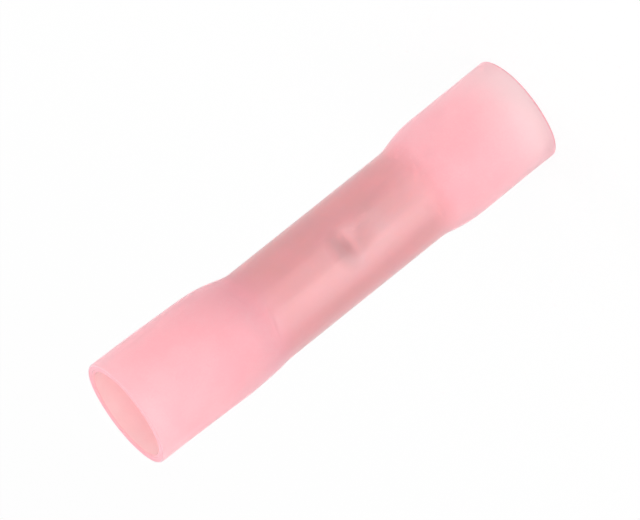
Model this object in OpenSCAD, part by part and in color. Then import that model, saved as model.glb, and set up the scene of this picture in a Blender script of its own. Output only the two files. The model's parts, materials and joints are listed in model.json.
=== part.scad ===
// Heat-shrink butt splice connector for joining two wires end to end.
// A pink shrink sleeve with a hot-melt lining is necked down on a tinned copper crimp barrel.
// The axis is +Z, and the connector stands on one cut end of its sleeve at z = 0.

/* [Sleeve] */
// Length of the shrink sleeve from end to end
sleeve_l = 44; // [40:0.5:60]
// Outer diameter of the two flared ends
flare_od = 10; // [9.6:0.1:12]
// Wall of the sleeve at its flared ends
sleeve_wall = 0.5; // [0.4:0.05:0.6]
// Radius of the sleeve's rounded edges at its cut ends
sleeve_lip_r = 0.15; // [0.05:0.05:0.15]

/* [Shoulders] */
// Radius of the hollow curve where a shoulder leaves the neck
neck_fillet = 5; // [2:0.5:8]
// Radius of the full curve from the upper shoulder onto its flare
top_blend = 20; // [8:1:24]
// Radius of the full curve from the lower shoulder onto its flare
bottom_blend = 13; // [8:1:24]
// How far the neck's upper end lies inside the barrel's upper end
top_inset = 1.2; // [0:0.1:3]
// How far the neck's lower end lies inside the barrel's lower end
bottom_inset = 2.1; // [0:0.1:3]

/* [Lining] */
// Wall of the hot-melt lining at the flared ends
lining_wall = 0.25; // [0.2:0.05:0.5]
// How far the lining's ends lie inside the sleeve's ends
lining_recess = 0.1; // [0.05:0.05:0.5]
// Radius of the lining's rounded edges
lining_lip_r = 0.1; // [0.05:0.01:0.1]

/* [Barrel] */
// Length of the crimp barrel
barrel_l = 20; // [16:0.5:24]
// Outer diameter of the crimp barrel
barrel_od = 7; // [6.4:0.1:7.4]
// Diameter of the two wire bores
bore_d = 4.6; // [3.8:0.1:5.2]
// How far the barrel's middle lies below the sleeve's middle
barrel_drop = 1.5; // [-2:0.1:2]
// Chamfer that leads a wire into each bore
lead_in = 0.3; // [0.1:0.05:0.6]
// Chamfer on the barrel's outer edges
edge_bevel = 0.15; // [0.05:0.05:0.3]

/* [Wire stop] */
// Radius of the punch's nose, which dents the barrel
punch_r = 1.45; // [1.2:0.05:1.55]
// Width of the punch across the barrel
punch_w = 4.2; // [3.2:0.1:5]
// Depth of the dent in the barrel's outside
dent_depth = 1.2; // [0.8:0.05:1.2]
// Wall left under the dent
stop_wall = 0.9; // [0.6:0.05:1.1]
// How far the dent draws the bore in all round
bore_draw = 0.2; // [0.1:0.05:0.4]

/* [Fits] */
// Gap left between bonded surfaces
bond_gap = 0.02; // [0.01:0.01:0.05]

/* [Hidden] */
$fn = 96;
// Straight steps that stand for each arc of a shoulder and of a rounded edge
arc_steps = 12;
lip_steps = 6;
// Cuts run past the faces they open by this much
overcut = 1;

barrel_or = barrel_od / 2;
bore_r = bore_d / 2;
barrel_mid = sleeve_l / 2 - barrel_drop;
barrel_bottom = barrel_mid - barrel_l / 2;
barrel_top = barrel_mid + barrel_l / 2;
neck_bottom = barrel_bottom + bottom_inset;
neck_top = barrel_top - top_inset;

// Radii of the four surfaces at the flares, from the outside in
flare_or = flare_od / 2;
flare_ir = flare_or - sleeve_wall;
lining_flare_or = flare_ir - bond_gap;
lining_flare_ir = lining_flare_or - lining_wall;

// Radii of the same surfaces on the neck, from the barrel out.
// A wall that shrinks keeps its section area, so it is thicker on the neck.
lining_neck_ir = barrel_or + bond_gap;
lining_neck_or = shrunk_or(lining_neck_ir, lining_flare_or, lining_flare_ir);
neck_ir = lining_neck_or + bond_gap;
neck_or = shrunk_or(neck_ir, flare_or, flare_ir);

// The punch runs across the barrel, with its lowest line at the dent's floor
punch_y = dent_depth - barrel_or - punch_r;
punch_reach = punch_w / 2 - punch_r;
bulge_r = punch_r + stop_wall;
// The drawn-in stretch of the bore spans the bulge, as one arc on each side
draw_arc_r = (bulge_r * bulge_r + bore_draw * bore_draw) / (2 * bore_draw);

// Outer radius of a wall shrunk onto inner_r, from its radii before shrinking
function shrunk_or(inner_r, or, ir) = sqrt(inner_r * inner_r + or * or - ir * ir);

function reversed(points) = [for (i = [len(points) - 1:-1:0]) points[i]];

// A quarter of a circle, turned left from the start angle
function quarter(centre, r, start) =
    [for (i = [0:lip_steps]) let (a = start + 90 * i / lip_steps) centre + r * [cos(a), sin(a)]];

// One shoulder as [radius, distance from the neck]: a hollow arc, then a full arc that meets the flare
function shoulder(neck_r, flare_r, fillet, blend) =
    let (turn = acos(1 - (flare_r - neck_r) / (fillet + blend)))
    let (length = (fillet + blend) * sin(turn))
    let (angles = [for (i = [0:arc_steps]) turn * i / arc_steps])
    concat(
        [for (a = angles) [neck_r + fillet * (1 - cos(a)), fillet * sin(a)]],
        [for (i = [arc_steps - 1:-1:0]) [
            flare_r - blend * (1 - cos(angles[i])),
            length - blend * sin(angles[i])
        ]]
    );

// A surface of the shrunk tube between its flares, from the lower shoulder to the upper one.
// It runs parallel to the outside, so its hollow arcs are larger and its full arcs smaller.
function contour(neck_r, flare_r) =
    let (fillet = neck_fillet + neck_or - neck_r)
    let (depth = flare_or - flare_r)
    let (lower = shoulder(neck_r, flare_r, fillet, bottom_blend - depth))
    let (upper = shoulder(neck_r, flare_r, fillet, top_blend - depth))
    concat(
        [for (p = reversed(lower)) [p[0], neck_bottom - p[1]]],
        [for (p = upper) [p[0], neck_top + p[1]]]
    );

// A shrunk tube from bottom to top, given as [neck radius, flare radius] of its outside and inside
module shrunk_tube(outside, inside, bottom, top, lip_r) {
    outer_lip = outside[1] - lip_r;
    inner_lip = inside[1] + lip_r;
    rotate_extrude() polygon(concat(
        quarter([outer_lip, bottom + lip_r], lip_r, -90),
        contour(outside[0], outside[1]),
        quarter([outer_lip, top - lip_r], lip_r, 0),
        quarter([inner_lip, top - lip_r], lip_r, 90),
        reversed(contour(inside[0], inside[1])),
        quarter([inner_lip, bottom + lip_r], lip_r, 180)
    ));
}

// A round-ended bar across the barrel, along the line that the punch takes
module punch_bar(r) {
    translate([0, punch_y, barrel_mid]) {
        rotate([0, 90, 0]) cylinder(r = r, h = 2 * punch_reach, center = true);
        for (side = [-1, 1]) {
            translate([side * punch_reach, 0, 0]) sphere(r = r);
        }
    }
}

// The barrel's outside, a solid rod with bevelled edges
module barrel_blank() {
    rotate_extrude() polygon([
        [0, barrel_bottom],
        [barrel_or - edge_bevel, barrel_bottom],
        [barrel_or, barrel_bottom + edge_bevel],
        [barrel_or, barrel_top - edge_bevel],
        [barrel_or - edge_bevel, barrel_top],
        [0, barrel_top]
    ]);
}

// The space inside the barrel: two bores with a drawn-in stretch between them and a lead-in at each end
module wire_bores() {
    mouth_r = bore_r + lead_in + overcut;
    rotate_extrude() difference() {
        polygon([
            [0, barrel_bottom - overcut],
            [mouth_r, barrel_bottom - overcut],
            [bore_r, barrel_bottom + lead_in],
            [bore_r, barrel_top - lead_in],
            [mouth_r, barrel_top + overcut],
            [0, barrel_top + overcut]
        ]);
        translate([bore_r - bore_draw + draw_arc_r, barrel_mid]) circle(r = draw_arc_r, $fn = 360);
    }
}

module heat_shrink_sleeve() {
    color([1, 0.73, 0.76])
        shrunk_tube([neck_or, flare_or], [neck_ir, flare_ir], 0, sleeve_l, sleeve_lip_r);
}

module adhesive_lining() {
    color([0.98, 0.82, 0.79])
        shrunk_tube(
            [lining_neck_or, lining_flare_or],
            [lining_neck_ir, lining_flare_ir],
            lining_recess,
            sleeve_l - lining_recess,
            lining_lip_r
        );
}

// The dent's floor bulges into the bore, where it stops the two wires
module crimp_barrel() {
    color([0.76, 0.75, 0.74]) difference() {
        barrel_blank();
        difference() {
            wire_bores();
            punch_bar(bulge_r);
        }
        punch_bar(punch_r);
    }
}

heat_shrink_sleeve();
adhesive_lining();
crimp_barrel();
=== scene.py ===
"""Butt splice connector: finishes, soft forms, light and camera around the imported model."""

import json
import math

import bpy
from mathutils import Matrix, Vector, noise


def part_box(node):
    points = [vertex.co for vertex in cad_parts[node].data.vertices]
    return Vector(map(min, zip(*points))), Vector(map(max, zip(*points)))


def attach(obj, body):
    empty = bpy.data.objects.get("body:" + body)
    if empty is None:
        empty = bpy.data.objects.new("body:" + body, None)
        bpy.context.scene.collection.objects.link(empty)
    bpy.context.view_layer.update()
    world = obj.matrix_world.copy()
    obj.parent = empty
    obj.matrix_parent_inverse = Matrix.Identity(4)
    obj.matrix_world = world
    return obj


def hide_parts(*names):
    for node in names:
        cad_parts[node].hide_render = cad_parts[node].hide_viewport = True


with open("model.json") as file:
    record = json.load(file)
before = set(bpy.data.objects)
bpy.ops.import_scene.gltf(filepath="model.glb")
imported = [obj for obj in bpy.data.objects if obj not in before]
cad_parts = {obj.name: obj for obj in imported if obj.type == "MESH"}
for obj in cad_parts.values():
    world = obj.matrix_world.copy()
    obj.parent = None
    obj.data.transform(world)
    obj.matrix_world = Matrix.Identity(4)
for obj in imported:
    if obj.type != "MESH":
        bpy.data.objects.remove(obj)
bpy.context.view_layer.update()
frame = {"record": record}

# Lengths are in millimetres up to the point where a mesh is made
MM = 0.001


def node_size(node):
    """Outer radius, lowest z and highest z of a round CAD node, in millimetres."""
    low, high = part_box(node)
    return (high[0] - low[0]) / 2 / MM, low[2] / MM, high[2] / MM


def bore_radius(mount_name):
    """Radius of a bore that the record states, in millimetres."""
    return next(m["dims"]["r_mm"] for m in frame["record"]["mounts"] if m["name"] == mount_name)


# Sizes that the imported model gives
FLARE_R, SLEEVE_BOTTOM, SLEEVE_TOP = node_size("heat_shrink_sleeve")
LINING_R = node_size("adhesive_lining")[0]
BARREL_R, BARREL_BOTTOM, BARREL_TOP = node_size("crimp_barrel")
MOUTH_R = bore_radius("sleeve_mouth_top")
BORE_R = bore_radius("wire_bore_top")
BARREL_MID = (BARREL_BOTTOM + BARREL_TOP) / 2

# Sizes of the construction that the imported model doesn't state by itself
BOND_GAP = 0.02
NECK_FILLET = 5.0
TOP_BLEND = 20.0
BOTTOM_BLEND = 13.0
TOP_INSET = 1.2
BOTTOM_INSET = 2.1
LEAD_IN = 0.3
EDGE_BEVEL = 0.15
PUNCH_R = 1.45
PUNCH_W = 4.2
DENT_DEPTH = 1.2
STOP_WALL = 0.9
BORE_DRAW = 0.2
NECK_TOP = BARREL_TOP - TOP_INSET
NECK_BOTTOM = BARREL_BOTTOM + BOTTOM_INSET
PUNCH_REACH = PUNCH_W / 2 - PUNCH_R
PUNCH_Y = DENT_DEPTH - BARREL_R - PUNCH_R
BULGE_R = PUNCH_R + STOP_WALL

# Radii of the outer and inner edge at the cut ends, and how far the lining's ends lie inside the sleeve's
SLEEVE_LIPS = (0.15, 0.05)
LINING_LIPS = (0.03, 0.1)
LINING_RECESS = 0.03
LINING_LOW = SLEEVE_BOTTOM + LINING_RECESS
LINING_HIGH = SLEEVE_TOP - LINING_RECESS

# Fineness of the meshes
TUBE_SIDES = 192
BARREL_SIDES = 192
ARC_STEPS = 14
LIP_STEPS = 6
ROW_STEP = 0.2
INNER_ROW_STEP = 0.8
ROW_SLACK = 0.001


def shrunk_radius(inner, outer_before, inner_before):
    """Outer radius of a wall shrunk onto inner, with the section area it had before."""
    return math.sqrt(inner ** 2 + outer_before ** 2 - inner_before ** 2)


# Neck and flare radius of the four surfaces of the shrunk tube, from the inside out
SLEEVE_FLARE_IR = LINING_R + BOND_GAP
LINING_INSIDE = (BARREL_R + BOND_GAP, MOUTH_R)
LINING_OUTSIDE = (shrunk_radius(LINING_INSIDE[0], LINING_R, MOUTH_R), LINING_R)
SLEEVE_INSIDE = (LINING_OUTSIDE[0] + BOND_GAP, SLEEVE_FLARE_IR)
SLEEVE_OUTSIDE = (shrunk_radius(SLEEVE_INSIDE[0], FLARE_R, SLEEVE_FLARE_IR), FLARE_R)


def smooth_step(low, high, value):
    """0 at low, 1 at high, a soft rise between them, and level beyond them."""
    share = min(max((value - low) / (high - low), 0.0), 1.0)
    return share * share * (3 - 2 * share)


def shoulder(neck_r, flare_r, fillet, blend):
    """One shoulder as (radius, distance from the neck): a hollow arc, then a full one."""
    turn = math.acos(1 - (flare_r - neck_r) / (fillet + blend))
    length = (fillet + blend) * math.sin(turn)
    angles = [turn * i / ARC_STEPS for i in range(ARC_STEPS + 1)]
    hollow = [(neck_r + fillet * (1 - math.cos(a)), fillet * math.sin(a)) for a in angles]
    full = [(flare_r - blend * (1 - math.cos(a)), length - blend * math.sin(a)) for a in angles[-2::-1]]
    return hollow + full


def straight(start, end, step):
    """Points between two points of an outline, about a step apart, without the ends."""
    count = max(1, round(math.dist(start, end) / step))
    return [
        tuple(a + (b - a) * i / count for a, b in zip(start, end))
        for i in range(1, count)
    ]


def filled(points, step):
    """An outline with points added along its long straight stretches."""
    out = []
    for here, there in zip(points, points[1:]):
        out += [here] + straight(here, there, step)
    return out + [points[-1]]


def contour(radii):
    """A surface of the shrunk tube between its flares, from the lower shoulder up."""
    neck_r, flare_r = radii
    fillet = NECK_FILLET + SLEEVE_OUTSIDE[0] - neck_r
    depth = FLARE_R - flare_r
    lower = shoulder(neck_r, flare_r, fillet, BOTTOM_BLEND - depth)
    upper = shoulder(neck_r, flare_r, fillet, TOP_BLEND - depth)
    below = [(r, NECK_BOTTOM - d) for r, d in reversed(lower)]
    return below + [(r, NECK_TOP + d) for r, d in upper]


def quarter(centre_r, centre_z, radius, start):
    """A quarter circle of an outline, turned left from the start angle in degrees."""
    angles = [math.radians(start + 90 * i / LIP_STEPS) for i in range(LIP_STEPS + 1)]
    return [(centre_r + radius * math.cos(a), centre_z + radius * math.sin(a)) for a in angles]


def tube_outline(outside, inside, bottom, top, lips):
    """Outside and inside of a shrunk tube, each with its rounded edges at the two ends."""
    lip, inner_lip = lips
    lip_r = outside[1] - lip
    inner_lip_r = inside[1] + inner_lip
    outer = filled(
        quarter(lip_r, bottom + lip, lip, -90)
        + contour(outside)
        + quarter(lip_r, top - lip, lip, 0),
        ROW_STEP,
    )
    inner = filled(
        quarter(inner_lip_r, top - inner_lip, inner_lip, 90)
        + contour(inside)[::-1]
        + quarter(inner_lip_r, bottom + inner_lip, inner_lip, 180),
        INNER_ROW_STEP,
    )
    return outer, inner


def add_object(name, vertices, faces, *materials):
    """A smooth mesh object with its vertices given in millimetres."""
    mesh = bpy.data.meshes.new(name)
    mesh.from_pydata([Vector(v) * MM for v in vertices], [], faces)
    mesh.shade_smooth()
    obj = bpy.data.objects.new(name, mesh)
    bpy.context.scene.collection.objects.link(obj)
    for material in materials:
        mesh.materials.append(material)
    return obj


def ring_faces(rows, sides):
    """Quads of a closed outline turned round the axis: row by row, and from the last to the first."""
    faces = []
    for row in range(rows):
        for side in range(sides):
            here, there = row * sides, (row + 1) % rows * sides
            after = (side + 1) % sides
            faces.append((here + side, here + after, there + after, there + side))
    return faces


# Drift along x that the shrinking leaves: of the cut ends, and of the skin where the neck's wall is uneven
END_LEAN_TOP = 0.26
END_LEAN_BOTTOM = 0.16
NECK_LEAN_TOP = -0.22
NECK_LEAN_BOTTOM = -0.05

# Swell of the upper flare, and how its cut rises to a millimetre across
TOP_SWELL = 0.06
TOP_SLANT = -0.02

# Slow waves: depth on the flares and at the cuts, cells of noise to a radius and to a millimetre of height,
# and how far up and down the two cuts take their noise, so that they differ
WAVE_DEPTH = 0.03
WAVE_ROUND = 0.9
WAVE_ALONG = 0.12
CUT_WAVE = 0.04
CUT_WAVE_ROUND = 1.3
CUT_WAVE_SHIFT = 7.0

# Lengths over which the neck's drift fades, the waves set in, and a cut's unevenness reaches
LEAN_SPAN = 4.0
WAVE_SPAN = 5.0
CUT_SPAN = 3.0

# Each crease in the sleeve's skin: height and degrees from the front at its middle, half its span in
# degrees, climb in millimetres to a degree, depth and half its width in millimetres
CREASES = (
    (30.2, -21, 34, -0.018, 0.05, 0.15),
    (30.7, -30, 12, -0.010, 0.05, 0.12),
    (12.9, -24, 16, 0.004, 0.08, 0.12),
    (12.2, -36, 14, 0.006, 0.06, 0.11),
    (31.3, 24, 22, 0.020, 0.04, 0.12),
    (11.6, 30, 20, -0.015, 0.04, 0.12),
    (30.4, 150, 40, 0.012, 0.05, 0.12),
    (12.6, -140, 36, -0.012, 0.05, 0.12),
)
# A crease is flat past this many half widths
CREASE_REACH = 3

# The skin sinks a little where the wall has shrunk into the barrel's dent, more steeply on the upper side
DIMPLE_DEPTH = 0.22
DIMPLE_Z = BARREL_MID - 0.25
DIMPLE_WIDTH = 0.9
DIMPLE_RISE = 0.5
DIMPLE_FALL = 1.1


def crease_depth(z, angle):
    """How deep the creases cut at a height and an angle round the axis."""
    depth = 0
    for height, middle, half_span, climb, most, half_width in CREASES:
        turn = (math.degrees(angle) + 90 - middle + 180) % 360 - 180
        off = (z - height - climb * turn) / half_width
        if abs(turn) < half_span and abs(off) < CREASE_REACH:
            depth += most * math.exp(-off * off) * math.cos(math.pi / 2 * turn / half_span) ** 2
    return depth


def dimple_depth(x, z):
    """How deep the skin sinks over the dent, as a soft bell."""
    reach = DIMPLE_RISE if z > DIMPLE_Z else DIMPLE_FALL
    away = (x / DIMPLE_WIDTH) ** 2 + ((z - DIMPLE_Z) / reach) ** 2
    return DIMPLE_DEPTH * math.exp(-away / 2)


def on_neck(z, span):
    """1 on the neck, falling softly to 0 over a span past its ends."""
    return smooth_step(NECK_BOTTOM - span, NECK_BOTTOM, z) * smooth_step(NECK_TOP + span, NECK_TOP, z)


def axis_lean(z):
    """Sideways drift of the flares along x: the cut ends stray from the barrel's axis."""
    up = smooth_step(NECK_TOP, SLEEVE_TOP, z)
    down = smooth_step(NECK_BOTTOM, SLEEVE_BOTTOM, z)
    return END_LEAN_TOP * up + END_LEAN_BOTTOM * down


def wall_lean(z):
    """Sideways drift of the skin on the neck, where the wall is thicker on one side."""
    share = min(max((z - NECK_BOTTOM) / (NECK_TOP - NECK_BOTTOM), 0), 1)
    return on_neck(z, LEAN_SPAN) * (NECK_LEAN_BOTTOM + (NECK_LEAN_TOP - NECK_LEAN_BOTTOM) * share)


def soft_point(r, z, angle, is_skin):
    """A point of the soft tube with its drift, slow waves and uneven cuts, and the skin's own forms."""
    out = Vector((math.cos(angle), math.sin(angle), 0))
    near_top = smooth_step(SLEEVE_TOP - CUT_SPAN, SLEEVE_TOP, z)
    near_bottom = smooth_step(SLEEVE_BOTTOM + CUT_SPAN, SLEEVE_BOTTOM, z)
    wave = noise.noise(out * WAVE_ROUND + Vector((0, 0, z * WAVE_ALONG)))
    r += WAVE_DEPTH * wave * (1 - on_neck(z, WAVE_SPAN)) + TOP_SWELL * smooth_step(NECK_TOP, SLEEVE_TOP, z)
    cut_shift = Vector((0, 0, math.copysign(CUT_WAVE_SHIFT, z - BARREL_MID)))
    rise = CUT_WAVE * noise.noise(out * CUT_WAVE_ROUND + cut_shift) * (near_top + near_bottom)
    rise += TOP_SLANT * r * out.x * near_top
    x = axis_lean(z)
    if is_skin:
        r -= crease_depth(z, angle) + dimple_depth(r * out.x, z) * (out.y < 0)
        x += wall_lean(z)
    return (r * out.x + x, r * out.y, max(z + rise, SLEEVE_BOTTOM))


def soft_tube(name, outside, inside, bottom, top, lips, materials, pick, has_skin):
    """A shrunk tube as a fine mesh; pick gives the index of a row's material from its height and side."""
    outer, inner = tube_outline(outside, inside, bottom, top, lips)
    vertices = []
    for rows, is_skin in ((outer, has_skin), (inner, False)):
        for r, z in rows:
            for side in range(TUBE_SIDES):
                vertices.append(soft_point(r, z, math.tau * side / TUBE_SIDES, is_skin))
    faces = ring_faces(len(outer) + len(inner), TUBE_SIDES)
    obj = add_object(name, vertices, faces, *materials)
    rows = [(z, True) for _, z in outer] + [(z, False) for _, z in inner]
    for face in obj.data.polygons:
        z, is_outer = rows[face.index // TUBE_SIDES]
        face.material_index = pick(z, is_outer)
    return obj


# How far the dent's edge is rounded off
DENT_SOFTNESS = 0.12


def pressed(x, y, z, radius):
    """y of a front surface point after a round-ended bar of that radius has pushed it in."""
    over = max(abs(x) - PUNCH_REACH, 0)
    square = radius ** 2 - (z - BARREL_MID) ** 2 - over ** 2
    if square <= 0 or y > 0:
        return y
    floor_y = PUNCH_Y + math.sqrt(square)
    gap = floor_y - y
    return y + (gap + math.sqrt(gap ** 2 + DENT_SOFTNESS ** 2)) / 2


def drawn_bore(r, z):
    """Radius inside the barrel, drawn in by an arc around the wire stop."""
    away = min(abs(z - BARREL_MID) / BULGE_R, 1)
    return r - BORE_DRAW * (1 - away ** 2)


def barrel_outline():
    """Outside and inside of the barrel as (radius, z), each from one end to the other."""
    outside = filled([
        (BARREL_R - EDGE_BEVEL, BARREL_BOTTOM),
        (BARREL_R, BARREL_BOTTOM + EDGE_BEVEL),
        (BARREL_R, BARREL_TOP - EDGE_BEVEL),
        (BARREL_R - EDGE_BEVEL, BARREL_TOP),
    ], ROW_STEP)
    inside = filled([
        (BORE_R + LEAD_IN, BARREL_TOP),
        (BORE_R, BARREL_TOP - LEAD_IN),
        (BORE_R, BARREL_BOTTOM + LEAD_IN),
        (BORE_R + LEAD_IN, BARREL_BOTTOM),
    ], ROW_STEP)
    return outside, [(drawn_bore(r, z), z) for r, z in inside]


def crimp_barrel(material):
    """The barrel with its dent, soft at the edges, and the bulge of the wire stop in its bore."""
    outside, inside = barrel_outline()
    vertices = []
    for rows, radius in ((outside, PUNCH_R), (inside, BULGE_R)):
        for r, z in rows:
            for side in range(BARREL_SIDES):
                angle = math.tau * side / BARREL_SIDES
                x, y = r * math.cos(angle), r * math.sin(angle)
                vertices.append((x, pressed(x, y, z, radius), z))
    faces = ring_faces(len(outside) + len(inside), BARREL_SIDES)
    return add_object("barrel", vertices, faces, material)


# Ranges that hold most of a noise, for soft clouds and for finer marks
CLOUD_RANGE = (0.35, 0.65)
MARK_RANGE = (0.3, 0.7)
# Cells of the slow cloud to a millimetre
CLOUD_SCALE = 0.35

# Painted light: the lower flare is painted paler from this height down to its cut end, slowly at first
TIP_LIGHT_START = 7.0
TIP_LIGHT_CURVE = 2.0


class Shader:
    """A material with one Principled shader, and short calls to add nodes before it."""

    def __init__(self, name):
        self.material = bpy.data.materials.new(name)
        self.material.use_nodes = True
        self.tree = self.material.node_tree
        self.principled = self.tree.nodes["Principled BSDF"]

    def set(self, **sockets):
        """Plain values on the Principled shader, with _ for each space in a socket's name."""
        for name, value in sockets.items():
            self.principled.inputs[name.replace("_", " ")].default_value = value

    def add(self, kind, sockets=None, **settings):
        """A node with its settings; each socket takes a value or another node's output."""
        node = self.tree.nodes.new(kind)
        for name, value in settings.items():
            setattr(node, name, value)
        for name, value in (sockets or {}).items():
            if isinstance(value, bpy.types.NodeSocket):
                self.tree.links.new(value, node.inputs[name])
            else:
                node.inputs[name].default_value = value
        return node

    def drive(self, name, output):
        """Feeds a node's output to the Principled shader."""
        self.tree.links.new(output, self.principled.inputs[name])

    def show(self, share, first, second):
        """Makes a mix of two shaders the material's surface."""
        mix = self.add("ShaderNodeMixShader", {0: share, 1: first, 2: second})
        self.tree.links.new(mix.outputs[0], self.tree.nodes["Material Output"].inputs["Surface"])

    def place(self, stretch=(1, 1, 1)):
        """Object coordinates in millimetres, stretched by a factor along each axis."""
        where = self.add("ShaderNodeTexCoord").outputs["Object"]
        scale = [s / MM for s in stretch]
        return self.add("ShaderNodeMapping", {"Vector": where, "Scale": scale}).outputs[0]

    def along(self, axis):
        """One coordinate in millimetres, named X, Y or Z."""
        return self.add("ShaderNodeSeparateXYZ", {"Vector": self.place()}).outputs[axis]

    def math(self, operation, first, second=0.0):
        """A sum, product or other simple operation on two values."""
        return self.add("ShaderNodeMath", {0: first, 1: second}, operation=operation).outputs[0]

    def ramp(self, value, low, high, low_out=0.0, high_out=1.0):
        """A value carried from one range to another."""
        sockets = {
            "Value": value, "From Min": low, "From Max": high, "To Min": low_out, "To Max": high_out,
        }
        return self.add("ShaderNodeMapRange", sockets).outputs["Result"]

    def past(self, bottom, top, start, end):
        """0 between two heights, rising softly to 1 between two distances past them."""
        away = self.math("ABSOLUTE", self.math("SUBTRACT", self.along("Z"), (bottom + top) / 2))
        half = (top - bottom) / 2
        sockets = {"Value": away, "From Min": half + start, "From Max": half + end}
        return self.add("ShaderNodeMapRange", sockets, interpolation_type="SMOOTHSTEP").outputs["Result"]

    def tip_light(self):
        """How far the painted light of the paler lower end has set in, which shows less where the wall is
        seen aslant.
        """
        down = self.math("POWER", self.ramp(self.along("Z"), TIP_LIGHT_START, SLEEVE_BOTTOM), TIP_LIGHT_CURVE)
        aslant = self.add("ShaderNodeLayerWeight").outputs["Facing"]
        return self.math("MULTIPLY", down, self.math("SUBTRACT", 1.0, aslant))

    def noise(self, scale, detail=3.0, stretch=(1, 1, 1)):
        """Soft noise from 0 to 1 with that many cells to a millimetre."""
        sockets = {"Vector": self.place(stretch), "Scale": scale, "Detail": detail}
        return self.add("ShaderNodeTexNoise", sockets).outputs["Fac"]

    def cloud(self, scale=CLOUD_SCALE):
        """Slow cloud that fills the range from 0 to 1."""
        return self.ramp(self.noise(scale), *CLOUD_RANGE)

    def patch(self, centre, radii, full):
        """0 outside a patch with those radii, rising inwards to 1 at that share of the way in."""
        where = self.add("ShaderNodeTexCoord").outputs["Object"]
        middle = [c * MM for c in centre]
        moved = self.add("ShaderNodeVectorMath", {0: where, 1: middle}, operation="SUBTRACT").outputs[0]
        scale = [1 / (r * MM) for r in radii]
        scaled = self.add("ShaderNodeMapping", {"Vector": moved, "Scale": scale}).outputs[0]
        ball = self.add("ShaderNodeTexGradient", {"Vector": scaled}, gradient_type="SPHERICAL")
        return self.ramp(ball.outputs["Fac"], 0.0, full)

    def blend(self, share, first, second):
        """A colour between two colours."""
        return self.add("ShaderNodeMix", {0: share, 6: first, 7: second}, data_type="RGBA").outputs[2]

    def blend_value(self, share, first, second):
        """A number between two numbers."""
        return self.add("ShaderNodeMix", {0: share, 2: first, 3: second}).outputs[0]

    def bump(self, height, distance, under=None):
        """Bump of that depth in millimetres, over another bump if one is given."""
        sockets = {"Height": height, "Distance": distance * MM}
        if under is not None:
            sockets["Normal"] = under
        return self.add("ShaderNodeBump", sockets).outputs["Normal"]


# Colours of the sleeve on its flares, on its neck, darkened for painted shade over the dent, and paled for
# painted light at its lower end
SLEEVE_PINK = (1.0, 0.764, 0.83, 1)
SLEEVE_PALE = (1.0, 0.814, 0.87, 1)
SLEEVE_NECK = (1.0, 0.765, 0.80, 1)
SLEEVE_DENT_SHADE = (0.87, 0.55, 0.59, 1)
SLEEVE_TIP_LIGHT = (1.0, 0.93, 0.94, 1)
SLEEVE_MILK = 0.25
SPECKLE_SCALE = 7
SPECKLE = 0.5

# Surface of the plastic: index, roughness and clear skin on the neck and on the flares, and its fine marks
PLASTIC_IOR = 1.3
NECK_ROUGHNESS = 0.3
FLARE_ROUGHNESS = 0.5
NECK_COAT = 1.0
FLARE_COAT = 0.3
STREAK_SCALE = 1.6
STREAK_STRETCH = (1, 1, 0.06)
STREAK_DEPTH = 0.03
GRAIN_SCALE = 9
GRAIN_DEPTH = 0.006

# Where the flares' colour and frost set in, as distances past the neck's and the barrel's ends
FLARE_ONSET = (-1, 2)
FROST_ONSET = (-4, 1)

# Each patch from here on: its centre, its radii along each axis, and how far in it is full.
# Painted shade: the plastic is painted deeper in colour over the dent's upper slope, where the dent's shade
# shows through.
DENT_SHADE_PATCH = ((-0.2, -SLEEVE_OUTSIDE[0], BARREL_MID + 0.85), (2.2, 1.4, 1.45), 0.8)


def sleeve_material():
    """Frosted translucent pink plastic with a faint cloud, specks and drawn streaks."""
    s = Shader("frosted_pink_sleeve")
    specks = s.ramp(s.noise(SPECKLE_SCALE), *MARK_RANGE, -SPECKLE, SPECKLE)
    shade = s.math("ADD", s.cloud(), specks)
    flare = s.past(NECK_BOTTOM, NECK_TOP, *FLARE_ONSET)
    thin = s.blend(shade, SLEEVE_PINK, SLEEVE_PALE)
    thick = s.blend(shade, SLEEVE_NECK, SLEEVE_PINK)
    # Painted shade: the sleeve's colour is darkened over the dent
    dent_shaded = s.blend(s.patch(*DENT_SHADE_PATCH), s.blend(flare, thick, thin), SLEEVE_DENT_SHADE)
    # Painted light: the sleeve is paled towards its lower cut end
    pink = s.blend(s.tip_light(), dent_shaded, SLEEVE_TIP_LIGHT)
    frost = s.past(BARREL_BOTTOM, BARREL_TOP, *FROST_ONSET)
    s.drive("Base Color", pink)
    s.drive("Roughness", s.blend_value(frost, NECK_ROUGHNESS, FLARE_ROUGHNESS))
    s.drive("Coat Weight", s.blend_value(flare, NECK_COAT, FLARE_COAT))
    s.set(Transmission_Weight=0.72, IOR=PLASTIC_IOR, Coat_Roughness=0.3, Coat_IOR=1.85)
    streaks = s.bump(s.noise(STREAK_SCALE, stretch=STREAK_STRETCH), STREAK_DEPTH)
    grain = s.bump(s.noise(GRAIN_SCALE), GRAIN_DEPTH, streaks)
    s.drive("Normal", grain)
    s.drive("Coat Normal", grain)
    milk = s.add("ShaderNodeBsdfTranslucent", {"Color": pink, "Normal": grain}).outputs[0]
    s.show(SLEEVE_MILK, s.principled.outputs[0], milk)
    return s.material


# Colours of the cut ends, with a paler one for painted light on their front, how far from the middle the
# painted light fades from front to back, and their milk and mottle
CUT_PINK = (1.0, 0.57, 0.64, 1)
CUT_FRONT_LIGHT = (1.0, 0.63, 0.69, 1)
CUT_CREAM = (1.0, 0.58, 0.61, 1)
CUT_LIGHT_FADE = 2.0
CUT_MILK = 0.5
MOTTLE_SCALE = 4
MOTTLE = 0.15


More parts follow.
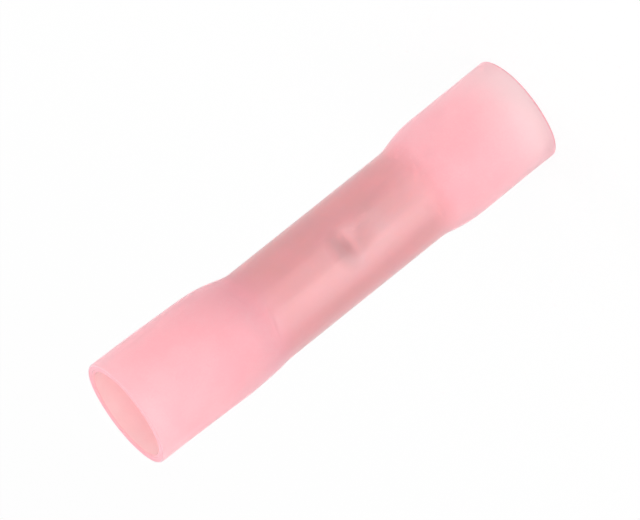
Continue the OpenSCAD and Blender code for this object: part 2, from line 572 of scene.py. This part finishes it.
def cut_material(name, colour):
    """The milky edge of a cut wall, which light reaches through the wall behind it, with painted light on
    its front.
    """
    s = Shader(name)
    # Painted light: the cut end is paler at its front than at its back
    face = s.blend(s.ramp(s.along("Y"), -CUT_LIGHT_FADE, CUT_LIGHT_FADE), CUT_FRONT_LIGHT, colour)
    mottle = s.ramp(s.noise(MOTTLE_SCALE), *MARK_RANGE, 0.0, MOTTLE)
    s.drive("Base Color", s.blend(mottle, face, SLEEVE_PALE))
    s.set(Roughness=0.6)
    milk = s.add("ShaderNodeBsdfTranslucent", {"Color": face}).outputs[0]
    s.show(CUT_MILK, s.principled.outputs[0], milk)
    return s.material


# Colours of the lining in its mouths, further in, darkened for painted shade near the barrel's upper end,
# and paled for painted light at the lower cut end
LINING_CREAM = (0.99, 0.635, 0.625, 1)
LINING_PALE = (0.99, 0.685, 0.675, 1)
LINING_DEEP = (1.0, 0.54, 0.56, 1)
LINING_CAVITY_SHADE = (0.80, 0.22, 0.27, 1)
LINING_TIP_LIGHT = (1.0, 0.85, 0.86, 1)
LINING_CLOUD_SCALE = 0.5
SKIN_BUMP_SCALE = 1.6
SKIN_BUMP_DEPTH = 0.03
# Where the mouths' colour sets in, past the lining's ends, and how far above the barrel the painted shade
# fades
MOUTH_ONSET = (-4, 0)
CAVITY_SHADE_FADE = 6.0


def lining_material():
    """Pale, slightly yellow hot-melt adhesive with a soft uneven skin."""
    s = Shader("hot_melt_lining")
    mouth = s.blend(s.cloud(LINING_CLOUD_SCALE), LINING_CREAM, LINING_PALE)
    rise = s.ramp(s.along("Z"), BARREL_MID, NECK_TOP)
    fall = s.ramp(s.along("Z"), BARREL_TOP + CAVITY_SHADE_FADE, BARREL_TOP)
    # Painted shade: the lining darkens near the barrel's upper end, where the hollow shoulder lies in shadow
    deep = s.blend(s.math("MULTIPLY", rise, fall), LINING_DEEP, LINING_CAVITY_SHADE)
    skin = s.blend(s.past(LINING_LOW, LINING_HIGH, *MOUTH_ONSET), deep, mouth)
    # Painted light: the lining is paled towards its lower cut end
    s.drive("Base Color", s.blend(s.tip_light(), skin, LINING_TIP_LIGHT))
    s.set(Transmission_Weight=0.45, Roughness=0.65, IOR=PLASTIC_IOR)
    s.drive("Normal", s.bump(s.noise(SKIN_BUMP_SCALE), SKIN_BUMP_DEPTH))
    return s.material


# Tints of the clear bond between sleeve and lining, and of the amber bond on the barrel, two of them paler
# for painted light over the dent
CLEAR_THIN = (1.0, 0.99, 0.98, 1)
CLEAR_THICK = (1.0, 0.97, 0.96, 1)
AMBER_THIN = (1.0, 0.455, 0.435, 1)
AMBER_THICK = (1.0, 0.42, 0.40, 1)
AMBER_HALF_LIT = (1.0, 0.56, 0.535, 1)
AMBER_LIT_SPOT = (1.0, 0.72, 0.69, 1)
AMBER_MILK = (0.90, 0.23, 0.27, 1)
BOND_MILK = 0.04
END_MILK = 0.8
# Where the amber bond turns milky, past the neck's ends
MILK_ONSET = (-2.2, 1.2)
# Heights over which its milk takes the lining's colour, with its painted shade near the neck's upper end,
# and near its lower end
UPPER_FADE = (NECK_TOP - 1.0, NECK_TOP + 0.6)
LOWER_FADE = (NECK_BOTTOM - 0.6, BARREL_BOTTOM)
# Painted light: the bond is paler over the dent's lower slope, and half as pale below it
DENT_LIGHT_SPOT = ((0.7, -BARREL_R, BARREL_MID - 0.7), (1.0, 1.0, 0.9), 0.6)
DENT_LIGHT_BELOW = ((-0.4, -BARREL_R, BARREL_MID - 2.4), (2.3, 1.6, 2.2), 0.6)


def show_film(s, film, body, milk):
    """Lets a film tint the light that it passes, with a share of milk of the body's colour in it."""
    s.drive("Base Color", body)
    s.set(Roughness=0.6, Specular_IOR_Level=0.0)
    clear = s.add("ShaderNodeBsdfTransparent", {"Color": film}).outputs[0]
    s.show(milk, clear, s.principled.outputs[0])
    return s.material


def wall_bond_material():
    """The clear bond between the sleeve and its lining."""
    s = Shader("clear_bond")
    film = s.blend(s.cloud(), CLEAR_THIN, CLEAR_THICK)
    return show_film(s, film, film, BOND_MILK)


def barrel_bond_material():
    """The amber bond on the barrel: paler for painted light over and below the dent's lower slope, milky
    towards the barrel's ends, and darkened for painted shade near the neck's upper end.
    """
    s = Shader("amber_bond")
    cloud = s.cloud()
    film = s.blend(cloud, AMBER_THIN, AMBER_THICK)
    # Painted light: the film is paler over the dent's lower slope and below it
    film = s.blend(s.patch(*DENT_LIGHT_BELOW), film, AMBER_HALF_LIT)
    film = s.blend(s.patch(*DENT_LIGHT_SPOT), film, AMBER_LIT_SPOT)
    body = s.blend(cloud, AMBER_MILK, AMBER_THICK)
    # Painted shade: near the neck's upper end the bond's milk takes the lining's painted shade
    body = s.blend(s.ramp(s.along("Z"), *UPPER_FADE), body, LINING_CAVITY_SHADE)
    body = s.blend(s.ramp(s.along("Z"), *LOWER_FADE), body, LINING_DEEP)
    milk = s.blend_value(s.past(NECK_BOTTOM, NECK_TOP, *MILK_ONSET), BOND_MILK, END_MILK)
    return show_film(s, film, body, milk)


def wetted_material(name, colour):
    """A face wetted by a neighbour of its own index, so that light goes straight on through it."""
    s = Shader(name)
    s.drive("Base Color", s.blend(s.cloud(), colour, CLEAR_THIN))
    s.set(Transmission_Weight=1.0, Roughness=0.0, IOR=1.0)
    return s.material


# Colours of the tin plate, in the shade and on the light side of the dent too
TIN_LIGHT = (0.855, 0.835, 0.815, 1)
TIN_DARK = (0.745, 0.725, 0.705, 1)
TIN_DENT_SHADE = (0.40, 0.37, 0.37, 1)
TIN_DENT_LIGHT = (1.0, 0.98, 0.96, 1)
PATCH_SCALE = 0.8
PATCH_DETAIL = 4
DRAWN_SCALE = 2.0
DRAWN_STRETCH = (1, 1, 0.05)
LINE_SCALE = 6
LINE_STRETCH = (1, 1, 0.04)
LINE_DETAIL = 2
LINE_DEPTH = 0.008
# The range that holds most of the sum of two noises
PLATE_RANGE = (0.75, 1.25)
TIN_ROUGHNESS = (0.9, 1.0)
DENT_ROUGHNESS = 0.4
# The dent's floor, the shade on its upper slope and the light on its lower one
DENT = ((0, DENT_DEPTH - BARREL_R, BARREL_MID), (PUNCH_W / 2, PUNCH_R, PUNCH_R), 0.5)
SHADE = ((-0.1, DENT_DEPTH - BARREL_R, BARREL_MID + 0.4), (1.9, 1.6, 1.3), 0.65)
SHINE = ((0.7, 0.5 - BARREL_R, BARREL_MID - 0.8), (1.1, 1.2, 0.9), 0.7)


def tin_material():
    """Tin plate on drawn copper: dull metal with lines along the tube and darker patches."""
    s = Shader("tin_plate")
    drawn = s.noise(DRAWN_SCALE, LINE_DETAIL, DRAWN_STRETCH)
    uneven = s.math("ADD", s.noise(PATCH_SCALE, PATCH_DETAIL), drawn)
    plate = s.blend(s.ramp(uneven, *PLATE_RANGE), TIN_DARK, TIN_LIGHT)
    # Painted light: the tin is brightened on the dent's lower slope
    lit = s.blend(s.patch(*SHINE), plate, TIN_DENT_LIGHT)
    lines = s.noise(LINE_SCALE, LINE_DETAIL, LINE_STRETCH)
    dull = s.ramp(lines, *MARK_RANGE, *TIN_ROUGHNESS)
    # Painted shade: the tin is darkened on the dent's upper slope
    s.drive("Base Color", s.blend(s.patch(*SHADE), lit, TIN_DENT_SHADE))
    s.drive("Roughness", s.blend_value(s.patch(*DENT), dull, DENT_ROUGHNESS))
    s.set(Metallic=1.0)
    s.drive("Normal", s.bump(lines, LINE_DEPTH))
    return s.material


# The picture's width in pixels, and the camera that sees the connector as the photograph does
FRAME_W = 640
FOCAL_PX = 8245.0
SENSOR = 36.0
CAMERA_ELEVATION = 16.4
CAMERA_ROLL = 128.07
CAMERA_DISTANCE = 700.0
TARGET = (0.0, 0.0, 22.0)
FRAME_SHIFT = (-0.42, 0.16)
# Nearest and farthest distance that the camera sees, in metres
CLIP_NEAR = 0.01
CLIP_FAR = 10.0


def direction(azimuth, elevation=0.0):
    """Unit vector at degrees round the axis from the camera's side, and degrees up."""
    a, e = math.radians(azimuth), math.radians(elevation)
    return Vector((math.sin(a) * math.cos(e), -math.cos(a) * math.cos(e), math.sin(e)))


def facing(back):
    """Turn of a camera or lamp that looks against a direction."""
    return (-back).to_track_quat("-Z", "Y").to_matrix()


def camera():
    """A long lens, rolled so that the upright connector lies along the picture's diagonal."""
    data = bpy.data.cameras.new("camera")
    data.sensor_width = SENSOR
    data.lens = FOCAL_PX * SENSOR / FRAME_W
    data.clip_start = CLIP_NEAR
    data.clip_end = CLIP_FAR
    obj = bpy.data.objects.new("camera", data)
    back = direction(0, CAMERA_ELEVATION)
    turn = facing(back) @ Matrix.Rotation(-math.radians(CAMERA_ROLL), 3, "Z")
    aim = Vector(TARGET) + turn @ Vector((*FRAME_SHIFT, 0))
    obj.matrix_world = Matrix.Translation((aim + back * CAMERA_DISTANCE) * MM) @ turn.to_4x4()
    bpy.context.scene.collection.objects.link(obj)
    bpy.context.scene.camera = obj


# Each softbox: degrees round the axis from the camera's side, elevation, distance, width, height, watts
SOFTBOXES = {
    "top": (-20, 50, 300, 80, 80, 0.06),
    "front_high": (0, 60, 400, 200, 200, 0.35),
    "back_left": (-115, 25, 400, 200, 260, 0.04),
    "back_right": (115, 25, 400, 200, 260, 0.25),
}
# Each card: degrees round the axis from the camera's side, distance of its near and far end, width, level
CARDS = {
    "key_base": (-42, 6, 28, 20, 0.8),
    "fill_base": (60, 8, 34, 24, 0.55),
    "key_low": (-43, 34, 58, 24, 1.85),
    "front_low": (-14, 34, 58, 24, 1.25),
    "fill_low": (18, 34, 58, 24, 0.75),
    "side_middle": (-60, 58, 92, 40, 2.85),
    "key_middle": (-29, 58, 92, 38, 4.5),
    "fill_middle": (10, 58, 92, 57, 1.85),
}
# Height of the cards above the floor
CARD_LIFT = 0.5


def area_lamp(name, width, height, watts, place):
    """A rectangular lamp that the camera doesn't see."""
    data = bpy.data.lights.new(name, "AREA")
    data.shape = "RECTANGLE"
    data.size = width * MM
    data.size_y = height * MM
    data.energy = watts
    obj = bpy.data.objects.new(name, data)
    obj.matrix_world = place
    obj.visible_camera = False
    bpy.context.scene.collection.objects.link(obj)


def softbox(name, azimuth, elevation, distance, width, height, watts):
    """A lamp that faces the middle of the connector."""
    back = direction(azimuth, elevation)
    place = Matrix.Translation((Vector(TARGET) + back * distance) * MM) @ facing(back).to_4x4()
    area_lamp(name, width, height, watts, place)


def card(name, azimuth, near, far, width, level):
    """A lamp that lies on the floor and faces up; its level is 1 where it looks as bright as white."""
    watts = level * math.pi * (width * MM) * ((far - near) * MM)
    centre = direction(azimuth) * (near + far) / 2 + Vector((0, 0, CARD_LIFT))
    face_up = Matrix.Rotation(math.radians(azimuth), 4, "Z") @ Matrix.Rotation(math.pi, 4, "X")
    area_lamp(name, width, far - near, watts, Matrix.Translation(centre * MM) @ face_up)


def background_rays(tree):
    """1 for the rays that see the background: the camera's, and those off metal and through the plastic."""
    path = tree.nodes.new("ShaderNodeLightPath")
    seen = path.outputs["Is Camera Ray"]
    for ray in ("Is Glossy Ray", "Is Transmission Ray"):
        either = tree.nodes.new("ShaderNodeMath")
        either.operation = "MAXIMUM"
        tree.links.new(seen, either.inputs[0])
        tree.links.new(path.outputs[ray], either.inputs[1])
        seen = either.outputs[0]
    return seen


WHITE = (1, 1, 1, 1)
# Level of the world as a light; as a background it is white
AMBIENT = 0.8


def background():
    """An even world that looks white to the camera, in metal and through the sleeve."""
    world = bpy.data.worlds.new("studio")
    world.use_nodes = True
    bpy.context.scene.world = world
    nodes, links = world.node_tree.nodes, world.node_tree.links
    level = nodes.new("ShaderNodeMapRange")
    level.inputs["To Min"].default_value = AMBIENT
    level.inputs["To Max"].default_value = 1.0
    links.new(background_rays(world.node_tree), level.inputs["Value"])
    links.new(level.outputs["Result"], nodes["Background"].inputs["Strength"])
    nodes["Background"].inputs["Color"].default_value = WHITE


FLOOR_SIZE = 4000.0
FLOOR_COLOUR = (0.93, 0.93, 0.93, 1)
# Share of white in the floor where it is seen as the background; the rest keeps the shadow
FLOOR_LIFT = 0.9


def floor():
    """A plain pale floor under the connector, lifted to white for the camera but keeping its shadow."""
    half = FLOOR_SIZE / 2
    s = Shader("pale_floor")
    s.set(Base_Color=FLOOR_COLOUR, Roughness=0.9, Specular_IOR_Level=0.0)
    glow = s.add("ShaderNodeEmission", {"Color": WHITE, "Strength": 1.0})
    share = s.math("MULTIPLY", background_rays(s.tree), FLOOR_LIFT)
    s.show(share, s.principled.outputs[0], glow.outputs[0])
    corners = [(-half, -half, 0), (half, -half, 0), (half, half, 0), (-half, half, 0)]
    obj = add_object("floor", corners, [(0, 1, 2, 3)], s.material)


def dress(piece, node):
    """Puts a piece in the place of its CAD node, on the one body."""
    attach(piece, "root")
    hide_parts(node)


# Material indices of a tube's faces
SKIN, CUT, WALL_BOND, BARREL_BOND = range(4)


def between(bottom, top, lip, z):
    """Whether a row of faces lies between the rounded edges of a tube's two ends."""
    return bottom + lip <= z + ROW_SLACK and z - ROW_SLACK <= top - lip


def sleeve_face(z, is_outer):
    """The skin runs on over the upper edge; the inside is bonded to the lining between its edges."""
    if is_outer:
        return SKIN if SLEEVE_BOTTOM + SLEEVE_LIPS[0] - ROW_SLACK < z < SLEEVE_TOP - ROW_SLACK else CUT
    return WALL_BOND if between(SLEEVE_BOTTOM, SLEEVE_TOP, SLEEVE_LIPS[1], z) else CUT


def lining_face(z, is_outer):
    """The lining is bonded to the sleeve on its outside, and to the barrel along the barrel's length."""
    if not between(LINING_LOW, LINING_HIGH, LINING_LIPS[0 if is_outer else 1], z):
        return CUT
    if is_outer:
        return WALL_BOND
    return BARREL_BOND if BARREL_BOTTOM < z < BARREL_TOP else SKIN


wall_bond = wall_bond_material()
wetted_wall = wetted_material("wetted_wall", CLEAR_THICK)
barrel_bond = barrel_bond_material()
sleeve = soft_tube(
    "sleeve", SLEEVE_OUTSIDE, SLEEVE_INSIDE, SLEEVE_BOTTOM, SLEEVE_TOP, SLEEVE_LIPS,
    (sleeve_material(), cut_material("cut_sleeve", CUT_PINK), wall_bond), sleeve_face, True,
)
lining = soft_tube(
    "lining", LINING_OUTSIDE, LINING_INSIDE, LINING_LOW, LINING_HIGH, LINING_LIPS,
    (lining_material(), cut_material("cut_lining", CUT_CREAM), wetted_wall, barrel_bond), lining_face, False,
)
barrel = crimp_barrel(tin_material())
dress(sleeve, "heat_shrink_sleeve")
dress(lining, "adhesive_lining")
dress(barrel, "crimp_barrel")

camera()
background()
floor()
for lamp_name, values in SOFTBOXES.items():
    softbox(lamp_name, *values)
for lamp_name, values in CARDS.items():
    card(lamp_name, *values)
bpy.context.scene.view_settings.view_transform = "Standard"
